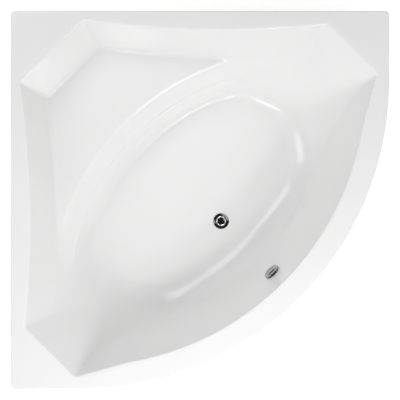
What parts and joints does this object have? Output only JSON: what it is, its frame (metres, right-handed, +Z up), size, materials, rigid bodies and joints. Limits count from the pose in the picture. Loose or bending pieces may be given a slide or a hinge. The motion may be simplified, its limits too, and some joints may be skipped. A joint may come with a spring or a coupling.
{
  "type": "corner bathtub",
  "caption": "Corner bathtub with a moulded corner seat, lens-shaped footwell, curved front panel, levelling feet, and a pop-up waste worked by turning the overflow knob.",
  "frame": {"origin": "on the room's floor, under the middle of the square that the rim fits in", "axes": "+Z up; the room's corner is at -X +Y, the walls face the +Y and -X sides, and the curved front faces +X -Y"},
  "size_m": [1.5, 1.5, 0.6],
  "materials": {
    "acrylic": "polished white acrylic",
    "chipboard": "pressed chips",
    "timber": "sawn softwood",
    "zinc_steel": "zinc-plated",
    "stainless": "turned stainless steel",
    "chrome": "polished chrome",
    "brass": "turned brass",
    "rubber": "moulded rubber",
    "white_plastic": "moulded, slightly satin",
    "pipe_plastic": "extruded, slightly satin",
    "hose_plastic": "ribbed hose",
    "cap_plastic": "moulded, smooth",
    "pad_plastic": "moulded, fine grain",
    "black_plastic": "moulded, smooth",
    "cable_sheath": "extruded sheath"
  },
  "bodies": {
    "tub": {"base_board": "chipboard", "bath_shell": "acrylic", "drain_pipe": "pipe_plastic", "foot_nuts": "zinc_steel", "front_panel": "acrylic", "lever_pin": "stainless", "lift_cable": "cable_sheath", "overflow_elbow": "white_plastic", "overflow_pipe": "hose_plastic", "overflow_rose": "chrome", "overflow_seal": "rubber", "panel_brackets": "zinc_steel", "panel_clips": "zinc_steel", "panel_screw_caps": "cap_plastic", "panel_screws": "zinc_steel", "rail_left": "zinc_steel", "rail_right": "zinc_steel", "rail_screws": "zinc_steel", "rail_spine": "zinc_steel", "rim_batten_rear": "timber", "rim_batten_side": "timber", "trap_nut": "white_plastic", "trap_outlet_nut": "white_plastic", "trap_pot": "white_plastic", "trap_seal": "rubber", "wall_hanger_rear_1": "zinc_steel", "wall_hanger_rear_2": "zinc_steel", "wall_hanger_side_1": "zinc_steel", "wall_hanger_side_2": "zinc_steel", "waste_body": "white_plastic", "waste_flange": "chrome", "waste_seal_lower": "rubber", "waste_seal_upper": "rubber"},
    "foot_corner": {"foot_pad_corner": "pad_plastic", "foot_rod_corner": "zinc_steel"},
    "foot_front_left": {"foot_pad_front_left": "pad_plastic", "foot_rod_front_left": "zinc_steel"},
    "foot_front_right": {"foot_pad_front_right": "pad_plastic", "foot_rod_front_right": "zinc_steel"},
    "foot_rear_left": {"foot_pad_rear_left": "pad_plastic", "foot_rod_rear_left": "zinc_steel"},
    "foot_rear_right": {"foot_pad_rear_right": "pad_plastic", "foot_rod_rear_right": "zinc_steel"},
    "lever": {"lift_lever": "black_plastic"},
    "knob": {"overflow_knob": "chrome", "overflow_spindle": "brass"},
    "plug": {"plug": "chrome", "plug_seal": "rubber", "plug_stem": "stainless"}
  },
  "joints": [
    {"name": "foot_front_left_level", "type": "slide", "parent": "tub", "child": "foot_front_left", "axis": [0, 0, 1], "range_m": [-0.03, 0.02]},
    {"name": "foot_front_right_level", "type": "slide", "parent": "tub", "child": "foot_front_right", "axis": [0, 0, 1], "range_m": [-0.03, 0.02]},
    {"name": "foot_rear_left_level", "type": "slide", "parent": "tub", "child": "foot_rear_left", "axis": [0, 0, 1], "range_m": [-0.03, 0.02]},
    {"name": "foot_rear_right_level", "type": "slide", "parent": "tub", "child": "foot_rear_right", "axis": [0, 0, 1], "range_m": [-0.03, 0.02]},
    {"name": "foot_corner_level", "type": "slide", "parent": "tub", "child": "foot_corner", "axis": [0, 0, 1], "range_m": [-0.03, 0.02]},
    {"name": "knob_turn", "type": "hinge", "parent": "tub", "child": "knob", "pos_m": [0.30029, -0.30029, 0.462], "axis": [-0.6809, 0.6809, 0.2696], "range_deg": [0, 90]},
    {"name": "plug_lift", "type": "slide", "parent": "tub", "child": "plug", "axis": [0, 0, 1], "range_m": [0, 0.01]},
    {"name": "lever_swing", "type": "hinge", "parent": "tub", "child": "lever", "pos_m": [0.10889, -0.08061, 0.13], "axis": [-0.7071, 0.7071, 0], "range_deg": [0, 30]}
  ],
  "couplings": [
    {"joint": "plug_lift", "follows": "knob_turn", "m_per_rad": 0.00636},
    {"joint": "lever_swing", "follows": "knob_turn", "ratio": 0.333}
  ]
}
